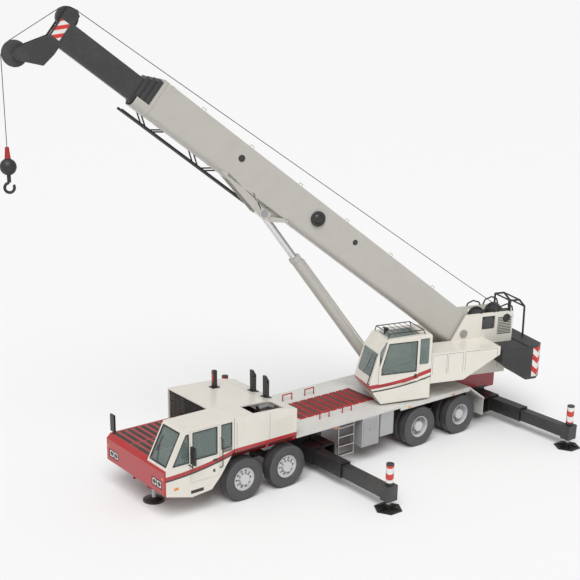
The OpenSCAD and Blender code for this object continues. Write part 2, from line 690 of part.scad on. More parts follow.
module opcab_front_pane(t, g) on_edge(opcab_pts[4], opcab_pts[5])
  translate([40 + g, opcab_in_y + 60 + g, opcab_wall / 2 - t / 2])
    linear_extrude(t) round_rect(650 - 2 * g, upper_half_w - opcab_in_y - 120 - 2 * g, 50);

module opcab_top_pane(t, g) on_edge(opcab_pts[6], opcab_pts[7])
  translate([120 + g, opcab_in_y + 120 + g, opcab_wall / 2 - t / 2])
    linear_extrude(t) round_rect(900 - 2 * g, upper_half_w - opcab_in_y - 240 - 2 * g, 50);

module upper_cab_glass() color([0.45, 0.58, 0.55, 0.6]) on_upper() {
  m = upper_half_w - opcab_wall / 2;
  opcab_front_pane(8, fit);
  opcab_top_pane(8, fit);
  cab_side_window(-480 + fit, 2300 + fit, -210 - fit, 3000 - fit, 40, m - 4, m + 4);
  slab(inset(opcab_inner_pane, fit), opcab_in_y + 16, opcab_in_y + 24);
  block([opcab_rear_x + 16, opcab_in_y + 120 + fit, 2200 + fit],
        [opcab_rear_x + 24, upper_half_w - 120 - fit, 2980 - fit]);
}

module upper_cab_interior() color([0.2, 0.2, 0.21]) on_upper() {
  y = (opcab_in_y + upper_half_w) / 2;
  block([opcab_rear_x + opcab_wall + fit, opcab_in_y + opcab_wall + fit, opcab_floor_z + 36],
        [980, upper_half_w - opcab_wall - fit, opcab_floor_z + 76]);
  block([-250, y - 180, opcab_floor_z + 76], [150, y + 180, 1950]);
  block([-300, y - 240, 1950], [260, y + 240, 2070]);
  block([-400, y - 230, 1950], [-300, y + 230, 2650]);
  block([700, y - 280, opcab_floor_z + 76], [900, y + 280, 2150]);
}

module upper_cab_door() color([0.86, 0.85, 0.81]) on_upper() {
  y1 = upper_half_w + 8;
  x0 = opdoor_rear_x - 20;
  x1 = opdoor_front_x + 20;
  pane = [[x0 + 60, 2150], [x1 - 70, 2150], [x1 - 70, 2300], [x1 - 260, 2960], [x0 + 60, 2960]];
  difference() {
    slab([[x0, opdoor_low_z - 20], [x0, opdoor_top_z + 20], [x1 - 220, opdoor_top_z + 20], [x1, 2300],
          [x1, opdoor_low_z - 20]], y1, y1 + opdoor_t);
    slab(pane, y1 - eps, y1 + opdoor_t + eps);
  }
  color([0.45, 0.58, 0.55, 0.6])
    slab(inset(pane, fit), y1 + 11, y1 + 19);
}

// Boom

// Cross-section of a boom box: flat top, large round lower corners, with its underside at z0
module box_profile(w, h, r, z0) translate([0, z0]) {
  translate([-w / 2, r]) square([w, h - r]);
  translate([-w / 2 + r, 0]) square([w - 2 * r, h / 2]);
  for (s = [-1, 1]) translate([s * (w / 2 - r), r]) circle(r);
}
module along_boom(x0, x1) translate([x0, 0, 0]) rotate([90, 0, 90]) linear_extrude(x1 - x0) children();

function section_w(i) = boom_w - i * section_step_w;
function section_r(i) = 150 - i * 15;
function section_z0(i) = bottom_z + i * (boom_t + section_drop);
function section_front(i) = i == 4 ? tip_front : boom_front + i * collar_pitch;

// Outline of section i grown by g all round
module section_outline(i, g)
  box_profile(section_w(i) + 2 * g, section_h[i] + 2 * g, section_r(i) + g, section_z0(i) - g);

module boom_section(i) {
  difference() {
    union() {
      along_boom(section_rear[i], section_front(i)) section_outline(i, 0);
      if (i < 4) along_boom(section_front(i) - collar_len, section_front(i)) section_outline(i, 10);
    }
    if (i < 4) {
      along_boom(section_rear[i] + (i == 0 ? 500 : -eps), section_front(i) - 60)
        section_outline(i, -boom_t);
      along_boom(section_front(i) - 61, section_front(i) + eps) section_outline(i + 1, fit);
    } else {
      along_boom(section_rear[i] - eps, section_front(i) - 100) section_outline(i, -boom_t);
    }
  }
}

module boom_foot_pin() color("dimgray") on_upper()
  cross_rod(boom_pin_x, boom_pin_z, 110, -plate_y - plate_t - 20, plate_y + plate_t + 20);

module boom_base() color([0.74, 0.73, 0.7]) on_boom() {
  difference() {
    union() {
      boom_section(0);
      // Lower lip, and the lugs of the lift cylinder
      difference() {
        along_boom(boom_front - eps, boom_front + 340) section_outline(0, 10);
        along_boom(boom_front - 2, boom_front + 400) section_outline(0, -6);
        block([boom_front - 100, -500, bottom_z + 260], [boom_front + 500, 500, 900]);
      }
      both_sides() slab([[lift_pin_d - 900, bottom_z + 160], [lift_pin_d + 450, bottom_z + 160],
            [lift_pin_d + 120, -lift_pin_drop - 100], [lift_pin_d - 110, -lift_pin_drop - 110]], 165, 205);
    }
    cross_rod(0, 0, 110 + fit, -500, 500);
    cross_rod(lift_pin_d, -lift_pin_drop, 71, -300, 300);
    along_boom(section_rear[0] + 500, boom_front - 60) section_outline(0, -boom_t);
  }
}

module inner_section(i) color([0.16, 0.16, 0.17]) on_boom() boom_section(i);

module boom_tip() color([0.17, 0.17, 0.18]) on_boom() {
  boom_section(4);
  w = section_w(4);
  // Head plates from the upper sheave to the jib sheave
  difference() {
    both_sides()
      slab([[head_x, 430], [head_x + 120, 520], [head_x + 330, 420], [head_x + 330, -300],
            [head_x + 760, -950], [head_x + 760, -1120], [head_x + 600, -1150], [head_x + 60, -900], [head_x, -560]],
           w / 2 - 40, w / 2);
    cross_rod(jib_sheave[0], jib_sheave[1], 59, -500, 500);
  }
  cross_rod(jib_sheave[0], jib_sheave[1], 60, -w / 2, w / 2);
  cross_rod(head_sheave[0], head_sheave[1], 60, -w / 2 + 40, w / 2 - 40);
  both_sides() cross_rod(head_sheave[0], head_sheave[1], head_sheave_r, 20, 90);
}

module lattice_jib() color([0.07, 0.07, 0.08]) on_boom() {
  x0 = 6900;
  x1 = 10900;
  y0 = -boom_w / 2 - 60;
  y1 = y0 - 380;
  z0 = -620;
  z1 = -180;
  chord_r = 32;
  lace_r = 18;
  bays = 5;
  bay = (x1 - x0) / bays;
  for (y = [y0, y1], z = [z0, z1]) bar([x0, y, z], [x1, y, z], chord_r);
  // Side lacing leaves the chords earlier than the top and bottom lacing
  for (i = [0:bays - 1]) let (a = x0 + i * bay, b = a + bay) {
    for (y = [y0, y1]) bar([a + 90, y, i % 2 == 0 ? z0 : z1], [b - 90, y, i % 2 == 0 ? z1 : z0], lace_r);
    for (z = [z0, z1]) bar([a + 190, i % 2 == 0 ? y0 : y1, z], [b - 190, i % 2 == 0 ? y1 : y0, z], lace_r);
  }
  for (x = [x0 + 20, x1 - 60]) block([x, y0 - 20, z1 + 10], [x + 40, -boom_w / 2, z1 + 70]);
}

module lift_pin() color("dimgray") on_upper() cross_rod(lift_base_x, lift_base_z, 70, -260, 260);

module lift_barrel() color([0.7, 0.69, 0.66]) on_lift() difference() {
  union() {
    translate([120, 0, 0]) rotate([0, 90, 0]) cylinder(d = lift_barrel_d, h = barrel_len - 120);
    cross_rod(0, 0, 140, -150, 150);
    block([0, -100, -130], [200, 100, 130]);
  }
  cross_rod(0, 0, 70 + fit, -300, 300);
  translate([250, 0, 0]) rotate([0, 90, 0]) cylinder(d = lift_barrel_d - 50, h = barrel_len - 250 - 120);
  translate([300, 0, 0]) rotate([0, 90, 0]) cylinder(d = lift_rod_d + 2 * fit, h = barrel_len);
}

// Piston on the rod's inner end
module lift_piston() color("dimgray") on_lift()
  translate([lift_len - lift_rod_len - 150, 0, 0]) rotate([0, 90, 0])
    cylinder(d = lift_barrel_d - 50 - 2 * fit, h = 150 - fit);

module lift_rod() color("silver") on_lift() difference() {
  union() {
    translate([lift_len - lift_rod_len, 0, 0]) rotate([0, 90, 0])
      cylinder(d = lift_rod_d, h = lift_rod_len - 60);
    cross_rod(lift_len, 0, 120, -130, 130);
  }
  cross_rod(lift_len, 0, 71, -300, 300);
}

// Hoist rope and hook, hanging plumb

module at_sheave() on_upper() translate([sheave_at[0], 0, sheave_at[1]]) children();

module jib_sheave() color([0.25, 0.25, 0.26]) at_sheave()
  rotate([90, 0, 0]) translate([0, 0, -35]) difference() {
  cylinder(r = jib_sheave_r, h = 70);
  translate([0, 0, -eps]) cylinder(r = 60 + fit, h = 80);
}

module hoist_fall() color([0.55, 0.55, 0.56]) at_sheave()
  translate([jib_sheave_r + rope_d / 2 + fit, 0, -fall]) cylinder(d = rope_d, h = fall);

module hook_ball() at_sheave() translate([jib_sheave_r + rope_d / 2 + fit, 0, -fall]) {
  color("darkred") translate([0, 0, -260]) cylinder(r1 = 70, r2 = 45, h = 260 - fit);
  color([0.15, 0.15, 0.16]) {
    translate([0, 0, -250 - ball_d / 2]) sphere(d = ball_d);
    translate([0, 0, -250 - ball_d - 160]) cylinder(r = 45, h = 190);
    translate([0, 0, -250 - ball_d - 280]) rotate([90, 0, 0]) rotate_extrude(angle = 300, start = 150)
      translate([110, 0]) circle(34, $fn = 24);
  }
}

chassis_frame();
outrigger_housings();
driveline();
front_bumper();
engine_hood();
carrier_cab_shell();
carrier_cab_glass();
carrier_cab_interior();
carrier_cab_door();
rear_deck();
side_boxes();
grab_rails();
posts_and_mirrors();
lamps();
for (s = SIDES, n = [1, 2])
  knuckle(n == 1 ? axle_1_x : axle_2_x, s[1]);
for (s = SIDES, n = [1, 2])
  front_wheel(n == 1 ? axle_1_x : axle_2_x, s[1]);
for (s = SIDES, n = [3, 4])
  twin_wheels(n == 3 ? axle_3_x : axle_4_x, s[1]);
for (end = ["front", "rear"], s = SIDES) {
  outrigger_box(end, s[1]);
  outrigger_beam(end, s[1]);
  jack_foot(end, s[1]);
}
front_jack();
upper_frame();
counterweight();
winches();
upper_cab_shell();
upper_cab_glass();
upper_cab_interior();
upper_cab_door();
boom_foot_pin();
boom_base();
for (i = [1:3]) inner_section(i);
boom_tip();
lattice_jib();
lift_pin();
lift_barrel();
lift_piston();
lift_rod();
jib_sheave();
hoist_fall();
hook_ball();
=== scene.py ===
import json
import math
import bmesh
import bpy
from mathutils import Matrix, Vector


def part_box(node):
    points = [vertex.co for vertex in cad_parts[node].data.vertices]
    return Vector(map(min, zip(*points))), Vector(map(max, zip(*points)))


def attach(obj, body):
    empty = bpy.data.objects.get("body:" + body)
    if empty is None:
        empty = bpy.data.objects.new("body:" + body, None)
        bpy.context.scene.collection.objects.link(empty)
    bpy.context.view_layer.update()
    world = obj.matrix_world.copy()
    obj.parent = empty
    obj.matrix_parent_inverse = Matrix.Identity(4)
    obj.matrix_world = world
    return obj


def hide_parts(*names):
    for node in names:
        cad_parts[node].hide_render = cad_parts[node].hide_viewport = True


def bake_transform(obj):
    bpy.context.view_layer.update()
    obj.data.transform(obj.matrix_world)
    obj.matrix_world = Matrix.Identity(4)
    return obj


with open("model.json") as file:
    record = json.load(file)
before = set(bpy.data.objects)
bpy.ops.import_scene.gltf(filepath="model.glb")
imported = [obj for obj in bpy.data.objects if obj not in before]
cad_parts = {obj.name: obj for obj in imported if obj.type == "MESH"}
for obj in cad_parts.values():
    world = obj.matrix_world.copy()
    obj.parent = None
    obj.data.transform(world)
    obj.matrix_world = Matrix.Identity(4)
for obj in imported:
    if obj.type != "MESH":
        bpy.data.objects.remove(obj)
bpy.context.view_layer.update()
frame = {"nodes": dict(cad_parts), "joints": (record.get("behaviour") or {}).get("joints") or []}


# Carrier chassis
# The red welded box frame under everything, with black driveline and outrigger housings below it.
# Steel plate, painted gloss red or satin black, with road dust that dulls it in patches.
class Value:
    """One shader socket, with sums and tests written as plain Python."""

    def __init__(self, tree, socket):
        self.tree = tree
        self.socket = socket

    def node(self, kind, settings, sockets, output=0):
        made = self.tree.nodes.new(kind)
        for name, value in settings.items():
            setattr(made, name, value)
        for key, value in sockets.items():
            if isinstance(value, Value):
                self.tree.links.new(value.socket, made.inputs[key])
            else:
                made.inputs[key].default_value = value
        return Value(self.tree, made.outputs[output])

    def maths(self, operation, first, second=0.0):
        return self.node("ShaderNodeMath", {"operation": operation}, {0: first, 1: second})

    def __add__(self, other):
        return self.maths("ADD", self, other)

    __radd__ = __add__

    def __mul__(self, other):
        return self.maths("MULTIPLY", self, other)

    __rmul__ = __mul__

    def __sub__(self, other):
        return self.maths("SUBTRACT", self, other)

    def __rsub__(self, other):
        return self.maths("SUBTRACT", other, self)

    def __truediv__(self, other):
        return self.maths("DIVIDE", self, other)

    def __rtruediv__(self, other):
        return self.maths("DIVIDE", other, self)

    def __gt__(self, other):
        return self.maths("GREATER_THAN", self, other)

    def __lt__(self, other):
        return self.maths("LESS_THAN", self, other)

    def __abs__(self):
        return self.maths("ABSOLUTE", self)

    def root(self):
        return self.maths("SQRT", self)

    def wave(self):
        return self.maths("FRACT", self)

    def between(self, low, high):
        return (self > low) * (self < high)

    def mix(self, base, top):
        return self.node("ShaderNodeMix", {"data_type": "RGBA"}, {0: self, 6: base, 7: top}, 2)


def finish(name, colour, rough=0.4, metal=0.0, coat=0.0, pattern=None, dust=0.5, bump=None, alpha=1.0,
           pane=None):
    """A material: a base colour, an optional pattern painted over it by place, and dust from noise."""
    material = bpy.data.materials.new(name)
    material.use_nodes = True
    tree = material.node_tree
    shader = tree.nodes["Principled BSDF"]
    place = Value(tree, None).node("ShaderNodeTexCoord", {}, {}, "Object")
    x, y, z = (place.node("ShaderNodeSeparateXYZ", {}, {0: place}, axis) for axis in range(3))
    cloud = place.node("ShaderNodeTexNoise", {},
                       {"Vector": place, "Scale": 2.3, "Detail": 8.0, "Roughness": 0.65})
    fine = place.node("ShaderNodeTexNoise", {}, {"Vector": place, "Scale": 38.0, "Detail": 4.0})
    base = (*colour, 1.0)
    if pattern:
        base = pattern(base, x, y, z)
    grime = ((cloud - 0.46) * 1.6 * dust) * fine
    grime = grime.node("ShaderNodeClamp", {}, {0: grime, 1: 0.0, 2: 0.45})
    dulled = grime.mix(base, (0.23, 0.20, 0.165, 1.0))
    shader.inputs["Alpha"].default_value = alpha
    if pane:
        clear = pane(x, y, z)
        dulled = clear.mix(dulled, (0.19, 0.25, 0.235, 1.0))
        tree.links.new((1.0 - clear * 0.5).socket, shader.inputs["Alpha"])
    tree.links.new(dulled.socket, shader.inputs["Base Color"])
    shade = grime * 0.8 + (fine - 0.5) * 0.08 + rough
    tree.links.new(shade.socket, shader.inputs["Roughness"])
    shader.inputs["Metallic"].default_value = metal
    shader.inputs["Coat Weight"].default_value = coat
    shader.inputs["Coat Roughness"].default_value = 0.12
    if bump:
        height, depth = bump(x, y, z)
        bent = height.node("ShaderNodeBump", {}, {"Height": height, "Distance": depth, "Strength": 0.8})
        tree.links.new(bent.socket, shader.inputs["Normal"])
    return material


def wear(material, *nodes):
    for name in nodes:
        frame["nodes"][name].data.materials.clear()
        frame["nodes"][name].data.materials.append(material)


class Solid:
    """Pieces of one material gathered into one mesh, in the row frame or in a local frame."""

    def __init__(self, local=Matrix.Identity(4)):
        self.mesh = bmesh.new()
        self.local = local

    def box(self, low, high, turn=Matrix.Identity(4), round_edge=0.0):
        low, high = Vector(low), Vector(high)
        shape = Matrix.Translation((low + high) / 2) @ turn @ Matrix.Diagonal((*(high - low), 1.0))
        made = bmesh.ops.create_cube(self.mesh, size=1.0, matrix=self.local @ shape)
        if round_edge:
            edges = list({e for v in made["verts"] for e in v.link_edges})
            bmesh.ops.bevel(self.mesh, geom=edges, offset=round_edge, segments=2, affect="EDGES")
        return self

    def rod(self, start, end, radius, sides=16, end_radius=None):
        start, end = Vector(start), Vector(end)
        run = end - start
        turn = run.to_track_quat("Z", "Y").to_matrix().to_4x4()
        bmesh.ops.create_cone(self.mesh, cap_ends=True, segments=sides, radius1=radius,
                              radius2=radius if end_radius is None else end_radius, depth=run.length,
                              matrix=self.local @ Matrix.Translation((start + end) / 2) @ turn)
        return self

    def path(self, points, radius, sides=10):
        for start, end in zip(points, points[1:]):
            self.rod(start, end, radius, sides)
        for joint in points[1:-1]:
            self.ball(joint, radius, sides)
        return self

    def ball(self, centre, radius, sides=16):
        bmesh.ops.create_uvsphere(self.mesh, u_segments=sides, v_segments=max(6, sides // 2), radius=radius,
                                  matrix=self.local @ Matrix.Translation(Vector(centre)))
        return self

    def plate(self, outline, push):
        flat = [self.mesh.verts.new(self.local @ Vector(p)) for p in outline]
        face = self.mesh.faces.new(flat)
        grown = bmesh.ops.extrude_face_region(self.mesh, geom=[face])
        moved = [v for v in grown["geom"] if isinstance(v, bmesh.types.BMVert)]
        bmesh.ops.translate(self.mesh, verts=moved, vec=self.local.to_3x3() @ Vector(push))
        return self

    def build(self, name, material):
        bmesh.ops.recalc_face_normals(self.mesh, faces=self.mesh.faces)
        data = bpy.data.meshes.new(name)
        self.mesh.to_mesh(data)
        self.mesh.free()
        data.shade_smooth()
        data.set_sharp_from_angle(angle=math.radians(35))
        made = bpy.data.objects.new(name, data)
        data.materials.append(material)
        bpy.context.scene.collection.objects.link(made)
        return made

    def place(self, name, body, material):
        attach(self.build(name, material), body)

    def stretch(self, name, material):
        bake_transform(self.build(name, material))


RED = (0.40, 0.014, 0.018)
BLACK = (0.016, 0.016, 0.017)
joints = {j["name"]: j for j in frame["joints"]}
slew_at = Vector(joints["slew"]["pos_m"])
at_x = slew_at.x
red_paint = finish("red_paint", RED, rough=0.32, coat=0.4)
black_paint = finish("black_paint", BLACK, rough=0.42, coat=0.15)
oily_black = finish("oily_black", (0.02, 0.019, 0.018), rough=0.55, dust=1.2)
bare_steel = finish("bare_steel", (0.42, 0.42, 0.43), rough=0.34, metal=1.0, dust=0.7)
wear(red_paint, "chassis_frame", "grab_rails")
wear(black_paint, "outrigger_housings", "posts_and_mirrors")
wear(oily_black, "driveline", "knuckle_1_left", "knuckle_1_right", "knuckle_2_left", "knuckle_2_right")

# Bolt heads along the frame's outer faces, where the spring hangers and bearers are fixed.
bolts = Solid()
for side in (-1, 1):
    for step in range(36):
        x = at_x - 3.2 + step * 0.3
        for z in (0.86, 1.16):
            bolts.rod((x, side * 0.449, z), (x, side * 0.462, z), 0.014, 6)
bolts.place("frame_bolts", "carrier", red_paint)


# Decks and bumper
# Flat sheet decks with dark anti-slip strips glued on, and a folded front bumper with its lamps let in.
# Painted steel; the strips are grit-coated tape, the lamps glass over bright reflectors.
STRIP = (0.052, 0.050, 0.044)
WHITE = (0.72, 0.69, 0.62)


def walkway(base, x, y, z):
    on_walk = (abs(y) < 0.502) * (z > 1.2905) * (x > at_x + 0.98)
    return on_walk.mix(base, (*RED, 1.0))


deck_paint = finish("deck_paint", (0.62, 0.61, 0.58), rough=0.45, pattern=walkway, dust=0.9)
wear(deck_paint, "rear_deck")
wear(red_paint, "front_bumper")
grit = finish("grit_tape", STRIP, rough=0.85, dust=0.8,
              bump=lambda x, y, z: (x.node("ShaderNodeTexNoise", {}, {"Scale": 300.0}), 0.002))
strips = Solid()
for row in range(10):
    for k in range(2):
        x = at_x + 1.03 + row * 0.25 + k * 0.075
        strips.box((x, -0.46, 1.3195), (x + 0.05, 0.46, 1.3235))
bumper_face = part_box("front_bumper")[1].x
for row in range(8):
    x = at_x + 6.42 + row * 0.19
    strips.box((x, -1.22, 1.3995), (x + 0.11, -0.42, 1.404))
    strips.box((x, -0.36, 1.3995), (x + 0.11, 0.42, 1.404))
strips.place("deck_strips", "carrier", grit)

lens = finish("lamp_glass", (0.85, 0.85, 0.82), rough=0.08, coat=0.6, dust=0.2)
amber = finish("amber_lens", (0.75, 0.22, 0.01), rough=0.12, coat=0.5, dust=0.2)
red_lens = finish("red_lens", (0.5, 0.01, 0.01), rough=0.12, coat=0.5, dust=0.2)
wear(lens, "lamps")
bezels = Solid()
for side in (-1, 1):
    for y in (0.78, 0.98):
        y0, y1 = sorted((side * y, side * (y + 0.18)))
        for z0, z1, a, b in ((0.865, 0.877, y0, y1), (1.033, 1.045, y0, y1), (0.865, 1.045, y0, y0 + 0.012),
                             (0.865, 1.045, y1 - 0.012, y1)):
            bezels.box((bumper_face - 0.012, a, z0), (bumper_face - 0.002, b, z1))
        y = (y0 + y1) / 2
        bezels.rod((bumper_face - 0.006, y, 0.955), (bumper_face - 0.003, y, 0.955), 0.06, 24)
bezels.place("lamp_bezels", "carrier", black_paint)
marks = Solid()
for side in (-1, 1):
    y = side * 1.225
    marks.box((bumper_face - 0.002, y - 0.03, 1.10), (bumper_face + 0.004, y + 0.03, 1.16))
marks.box((at_x + 7.62, 1.294, 0.80), (at_x + 7.74, 1.300, 0.86))
for x in (-1.2, 0.4, 2.9):
    for side in (-1, 1):
        y = side * 1.2975
        marks.box((at_x + x, y - 0.004, 1.19), (at_x + x + 0.10, y + 0.004, 1.225))
marks.place("amber_markers", "carrier", amber)

# Folded steps on the deck's edge.
ladder = Solid()
for side, x0 in ((-1, at_x + 2.14), (1, at_x + 2.35)):
    y = side * 1.27
    for x in (x0, x0 + 0.5):
        ladder.rod((x, y, 1.24), (x, y, 0.36), 0.018, 10)
    for rung in range(4):
        z = 0.40 + rung * 0.25
        ladder.box((x0, y - 0.05, z), (x0 + 0.5, y + 0.02, z + 0.03))
ladder.place("deck_ladders", "carrier", bare_steel)
wear(finish("box_grey", (0.40, 0.41, 0.41), rough=0.4, metal=0.15, dust=0.8), "side_boxes")
hatches = Solid()
for side in (-1, 1):
    y = side * 1.297
    hatches.box((at_x + 1.55, y - 0.004, 0.50), (at_x + 2.04, y + 0.004, 1.16), round_edge=0.003)
    y = side * 1.302
    hatches.box((at_x + 1.78, y - 0.008, 0.86), (at_x + 1.84, y + 0.008, 0.92), round_edge=0.003)
hatches.place("box_hatches", "carrier", bare_steel)


# Carrier cab
# A half-width driving cab of welded sheet on the left, painted warm white with a red and black sweep.
# The panes are laminated green-grey glass in rubber, and the door hangs on two front hinges.
def sweep(base, x, y, z):
    """Red band with a black line under it, rising from the cab's front to its rear and on along the hood."""
    run = x.node("ShaderNodeClamp", {}, {0: (at_x + 7.95 - x) / 1.9, 1: 0.0, 2: 1.0})
    middle = run * run * 0.23 + 1.14
    red = abs(z - middle) < 0.045
    dark = (z - middle).between(-0.085, -0.045)
    return dark.mix(red.mix(base, (*RED, 1.0)), (0.02, 0.02, 0.02, 1.0))


cab_white = finish("cab_white", WHITE, rough=0.3, coat=0.5, pattern=sweep, dust=0.35)
glass = finish("tinted_glass", (0.19, 0.25, 0.235), rough=0.05, coat=0.8, dust=0.1, alpha=0.5)
trim = finish("cab_trim", (0.035, 0.035, 0.037), rough=0.7)
rubber = finish("rubber", (0.018, 0.018, 0.018), rough=0.75)
wear(cab_white, "carrier_cab_shell", "engine_hood")


def door_pane(x, y, z):
    return x.between(at_x + 6.545, at_x + 7.215) * z.between(1.419, 2.091)


wear(finish("cab_door_white", WHITE, rough=0.3, coat=0.5, pattern=sweep, dust=0.35, pane=door_pane),
     "carrier_cab_door")
wear(glass, "carrier_cab_glass")
wear(trim, "carrier_cab_interior")
CAB_OUT = 1.295
door_handle = Solid()
door_handle.box((at_x + 6.54, CAB_OUT, 1.27), (at_x + 6.66, CAB_OUT + 0.022, 1.31), round_edge=0.006)
door_handle.box((at_x + 6.60, CAB_OUT, 0.985), (at_x + 6.66, CAB_OUT + 0.0005, 1.06))
door_handle.place("cab_door_handle", "carrier_door", trim)
grab = Solid()
grab.path([(at_x + 6.47, CAB_OUT + 0.001, 1.05), (at_x + 6.42, CAB_OUT + 0.05, 1.10),
           (at_x + 6.42, CAB_OUT + 0.05, 1.75), (at_x + 6.44, CAB_OUT + 0.001, 1.80)], 0.012)
grab.place("cab_grab_handle", "carrier", trim)
wiper = Solid()
wiper.path([(at_x + 7.93, 0.88, 1.33), (at_x + 7.87, 0.80, 1.46), (at_x + 7.72, 0.68, 1.76)], 0.008)
wiper.rod((at_x + 7.80, 0.66, 1.60), (at_x + 7.63, 0.68, 1.93), 0.009)
wiper.place("windscreen_wiper", "carrier", trim)
mirror_glass = Solid()
mirror_glass.box((at_x + 7.286, CAB_OUT + 0.09, 1.42), (at_x + 7.2895, CAB_OUT + 0.25, 1.80))
mirror_glass.box((at_x + 7.821, -CAB_OUT - 0.01, 1.47), (at_x + 7.8245, -CAB_OUT + 0.15, 1.86))
mirror = finish("mirror", (0.8, 0.8, 0.82), rough=0.03, metal=1.0, dust=0.1)
mirror_glass.place("mirror_glass", "carrier", mirror)
vents = Solid()
for k in range(6):
    vents.box((at_x + 6.12, CAB_OUT, 1.405 + k * 0.014), (at_x + 6.40, CAB_OUT + 0.004, 1.411 + k * 0.014))
vents.box((at_x + 6.93, CAB_OUT, 0.60), (at_x + 7.28, CAB_OUT + 0.003, 0.68))
vents.place("cab_vents", "carrier", trim)
# Rubber seals pressed round the panes.
seals = Solid()
near, far = Vector((7.95, 0.0, 1.31)), Vector((7.48, 0.0, 2.21))
rake = (far - near).normalized()
lean = Vector((rake.z, 0.0, -rake.x)) * 0.003
corner = [near + rake * s + lean + Vector((at_x, y, 0.0))
          for s, y in ((0.1, 0.55), (0.1, 1.225), (0.93, 1.225), (0.93, 0.55))]
seals.path([*corner, corner[0]], 0.014, 8)
for outline in (((7.33, 1.39), (7.76, 1.39), (7.40, 2.08), (7.33, 2.08)),
                ((6.13, 1.50), (6.42, 1.50), (6.42, 2.10), (6.13, 2.10))):
    loop = [(at_x + x, CAB_OUT, z) for x, z in outline]
    seals.path([*loop, loop[0]], 0.010, 8)
seals.place("cab_seals", "carrier", rubber)
door_seal = Solid()
loop = [(at_x + x, CAB_OUT, z) for x, z in ((6.546, 1.42), (7.214, 1.42), (7.214, 2.09), (6.546, 2.09))]
door_seal.path([*loop, loop[0]], 0.010, 8)
door_seal.place("cab_door_seal", "carrier_door", rubber)
# Intake post on the front deck beside the cab.
intake = Solid()
intake.box((at_x + 7.02, 0.34, 1.4045), (at_x + 7.22, 0.44, 1.424))
intake.rod((at_x + 7.12, 0.39, 1.42), (at_x + 7.12, 0.39, 1.86), 0.045, 20)
intake.rod((at_x + 7.12, 0.39, 1.86), (at_x + 7.12, 0.39, 1.93), 0.07, 20, 0.05)
intake.place("intake_post", "carrier", black_paint)


# Engine hood
# A sheet cover over the engine, open to the front, with an air well in its top and louvred sides.
# Painted white outside; the opening shows the radiator core behind a black mesh.
mesh_grille = Solid()
for k in range(15):
    z = 1.46 + k * 0.048
    mesh_grille.box((at_x + 6.20, -1.24, z), (at_x + 6.215, 0.45, z + 0.016))
for k in range(9):
    y = -1.24 + k * 0.21
    mesh_grille.box((at_x + 6.19, y, 1.42), (at_x + 6.20, y + 0.02, 2.16))
mesh_grille.place("hood_grille", "carrier", trim)
louvres = Solid()
for side in (-1, 1):
    for k in range(9):
        z = 1.50 + k * 0.045
        y = side * 1.2965
        louvres.box((at_x + 4.34, y - 0.005, z), (at_x + 4.95, y + 0.005, z + 0.018),
                    Matrix.Rotation(side * math.radians(18), 4, "X"))
louvres.place("hood_louvres", "carrier", cab_white)
stack = Solid()
stack.path([(at_x + 4.70, 0.98, 1.80), (at_x + 4.74, 0.98, 2.06), (at_x + 4.90, 0.98, 2.14),
            (at_x + 5.15, 0.98, 2.12)], 0.07, 20)
stack.place("exhaust_elbow", "carrier", bare_steel)
seams = Solid()
for x in (5.02, 5.98):
    for side in (-1, 1):
        y = side * 1.2955
        seams.box((at_x + x, y - 0.001, 1.31), (at_x + x + 0.006, y + 0.001, 2.06))
seams.place("hood_seams", "carrier", trim)
beacon = Solid()
beacon.box((at_x + 5.2405, -0.81, 2.28), (at_x + 5.246, -0.75, 2.52), round_edge=0.002)
beacon.place("post_lamp", "carrier", red_lens)


# Wheels
# Steered singles on aluminium discs, and twin drive wheels dished in, all on black truck tyres.
# The tyre is moulded rubber with ribbed tread; the discs are forged and bolted through a ring of nuts.
def wheel_finish(name, centre, mid_y, half_tread):
    def parts(base, x, y, z):
        radius = ((x - centre.x) * (x - centre.x) + (z - centre.z) * (z - centre.z)).root()
        metal = radius < 0.2865
        across = abs(abs(y) - mid_y)
        groove = ((across * 14.0 + 0.25).wave() < 0.22) * (radius > 0.53)
        turn = x.node("ShaderNodeMath", {"operation": "ARCTAN2"}, {0: z - centre.z, 1: x - centre.x})
        sipe = ((turn * 11.0).wave() < 0.18) * (across > half_tread * 0.5) * (radius > 0.525)
        ring = radius.between(0.345, 0.352) + radius.between(0.47, 0.476)
        rubber_colour = ring.mix((0.068, 0.067, 0.071, 1.0), (0.040, 0.040, 0.042, 1.0))
        # Tread grooves and sipes are painted near black: painted shade standing in for the depth of the tread.
        groove_shaded_rubber = (groove + sipe).mix(rubber_colour, (0.006, 0.006, 0.006, 1.0))
        return metal.mix(groove_shaded_rubber, (0.58, 0.58, 0.59, 1.0))

    return finish(name, (0.03, 0.03, 0.03), rough=0.55, pattern=parts, dust=0.7)


def wheel_nuts(name, body, centre, side, face, count, ring):
    """Nuts and studs round the hub, on the outer face of a disc."""
    made = Solid()
    for k in range(count):
        a = 2 * math.pi * k / count
        at = Vector((centre.x + ring * math.cos(a), side * face, centre.z + ring * math.sin(a)))
        made.rod(at, at + Vector((0, side * 0.028, 0)), 0.018, 6)
        made.rod(at + Vector((0, side * 0.028, 0)), at + Vector((0, side * 0.045, 0)), 0.009, 8)
    made.place(name, body, bare_steel)


for axle in (1, 2, 3, 4):
    twin = axle > 2
    for side_name, side in (("left", 1), ("right", -1)):
        node = f"wheel{'s' if twin else ''}_{axle}_{side_name}"
        low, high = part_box(node)
        centre = (low + high) / 2
        outer = max(abs(low.y), abs(high.y))
        half = 0.1425 if twin else 0.175
        if side == 1:
            skin = wheel_finish(f"wheel_axle_{axle}", centre, outer - half, half)
        wear(skin, node)
        disc = outer - half - 0.0998 + 0.012 if twin else outer - half + 0.098 + 0.012
        wheel_nuts(f"{node}_nuts", node, centre, side, disc, 10, 0.155)


